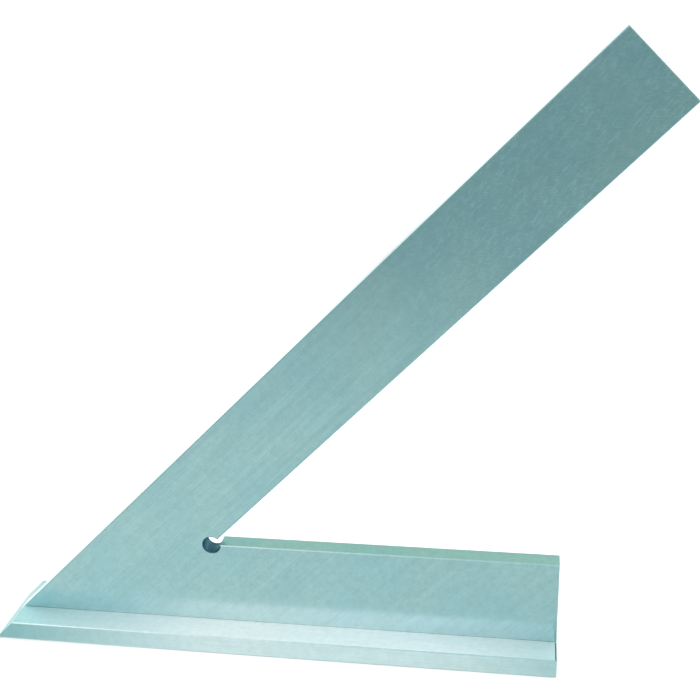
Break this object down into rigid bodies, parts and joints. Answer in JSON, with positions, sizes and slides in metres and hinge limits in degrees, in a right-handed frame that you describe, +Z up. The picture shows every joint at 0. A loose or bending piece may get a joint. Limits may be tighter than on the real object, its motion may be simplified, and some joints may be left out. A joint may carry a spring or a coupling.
{
  "type": "45 degree back square",
  "caption": "Steel 45 degree acute-angle square: a flat V-shaped blade standing in a grooved stop bar, for marking and checking mitres.",
  "frame": {"origin": "middle of the bounding box's bottom face, on the underside of the stop bar and in the blade's middle plane", "axes": "+X along the base, from the sharp tip towards the square end; +Y from the front blade face to the rear one; +Z up, from the stop bar towards the open end of the slanting arm"},
  "size_m": [0.1168, 0.0144, 0.1061],
  "materials": {
    "blade_steel": "fine ground steel, satin",
    "stop_steel": "fine ground steel, bright satin",
    "fastener_steel": "turned steel, ground flush"
  },
  "bodies": {
    "root": {"blade": "blade_steel", "stop_bar": "stop_steel", "countersunk_screw_1": "fastener_steel", "countersunk_screw_2": "fastener_steel", "countersunk_screw_3": "fastener_steel", "dowel_pin_1": "fastener_steel", "dowel_pin_2": "fastener_steel"}
  },
  "joints": []
}
